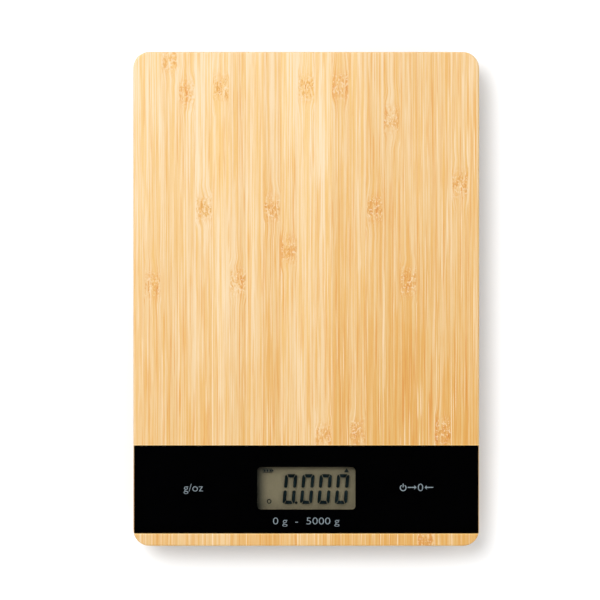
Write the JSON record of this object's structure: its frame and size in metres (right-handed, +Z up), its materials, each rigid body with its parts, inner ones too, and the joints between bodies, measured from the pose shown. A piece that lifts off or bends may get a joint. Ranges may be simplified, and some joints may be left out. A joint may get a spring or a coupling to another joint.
{
  "type": "kitchen scale",
  "caption": "Slim kitchen scale with a bamboo platform, a glass display strip with touch keys, a bending load cell and a shallow plastic base on rubber feet.",
  "frame": {"origin": "centre of the footprint, on the surface that the feet stand on", "axes": "+Z up out of the platform, +Y to the rear, so the display strip and its keys are at -Y, +X to the user's right"},
  "size_m": [0.161, 0.23, 0.018],
  "materials": {
    "bamboo": "satin varnish",
    "strip_glass": "polished clear cover",
    "strip_mask": "black printed ink",
    "adhesive": "foam tape",
    "display_panes": "thin display glass",
    "display_film": "grey-green polarizing film",
    "display_reflector": "satin metallised film",
    "display_seal": "cured edge seal",
    "contact_rubber": "layered conductive rubber",
    "holder_plastic": "moulded black",
    "circuit_board": "green solder mask",
    "chip_resin": "black epoxy",
    "tinned_legs": "tinned",
    "capacitor_can": "satin can",
    "resistor_ceramic": "glazed chip with tinned ends",
    "key_foil": "foil",
    "spring_steel": "nickel-plated wire",
    "tray_plastic": "moulded, fine texture",
    "base_plastic": "moulded, fine texture",
    "cell_aluminium": "machined",
    "gauge_film": "polyimide with etched foil",
    "sealant": "white silicone",
    "lead_red": "soft insulation",
    "lead_black": "soft insulation",
    "lead_white": "soft insulation",
    "lead_green": "soft insulation",
    "screw_steel": "zinc-plated",
    "foot_rubber": "moulded rubber",
    "contact_metal": "nickel-plated strip",
    "coin_steel": "brushed stainless",
    "coin_gasket": "moulded ring",
    "cover_plastic": "moulded, fine texture"
  },
  "bodies": {
    "base": {"base_tray": "base_plastic", "foot_front_left": "foot_rubber", "foot_front_right": "foot_rubber", "foot_rear_left": "foot_rubber", "foot_rear_right": "foot_rubber", "load_cell": "cell_aluminium", "cell_base_spacer": "cell_aluminium", "cell_base_screws": "screw_steel", "strain_gauges": "gauge_film", "gauge_sealant": "sealant", "cell_lead_red": "lead_red", "cell_lead_black": "lead_black", "cell_lead_white": "lead_white", "cell_lead_green": "lead_green", "battery_lead_red": "lead_red", "battery_lead_black": "lead_black", "battery_contact_positive": "contact_metal", "battery_contact_negative": "contact_metal", "coin_cell_can": "coin_steel", "coin_cell_cap": "coin_steel", "coin_cell_gasket": "coin_gasket"},
    "platform": {"bamboo_board": "bamboo", "display_glass": "strip_glass", "display_mask": "strip_mask", "strip_tape": "adhesive", "tray_tape": "adhesive", "display_front_pane": "display_panes", "display_rear_pane": "display_panes", "display_polarizer": "display_film", "display_reflector": "display_reflector", "display_seal": "display_seal", "contact_strips": "contact_rubber", "display_holder": "holder_plastic", "circuit_board": "circuit_board", "circuit_screws": "screw_steel", "controller_resin": "chip_resin", "converter_chip": "chip_resin", "converter_legs": "tinned_legs", "smoothing_capacitor": "capacitor_can", "chip_resistors": "resistor_ceramic", "unit_key_foil": "key_foil", "tare_key_foil": "key_foil", "unit_key_spring": "spring_steel", "tare_key_spring": "spring_steel", "platform_tray": "tray_plastic", "tray_screws": "screw_steel", "cell_platform_spacer": "cell_aluminium", "cell_platform_screws": "screw_steel"},
    "battery_cover": {"battery_cover": "cover_plastic"}
  },
  "joints": [
    {"name": "platform_press", "type": "slide", "parent": "base", "child": "platform", "axis": [0, 0, 1], "range_m": [-0.0005, 0], "stiffness_N_per_m": 100000, "deforming": ["load_cell", "strain_gauges", "gauge_sealant", "cell_lead_red", "cell_lead_black", "cell_lead_white", "cell_lead_green", "battery_lead_red", "battery_lead_black"]},
    {"name": "battery_cover_turn", "type": "hinge", "parent": "base", "child": "battery_cover", "pos_m": [0, -0.05, 0.002], "axis": [0, 0, -1], "range_deg": [0, 45]}
  ]
}
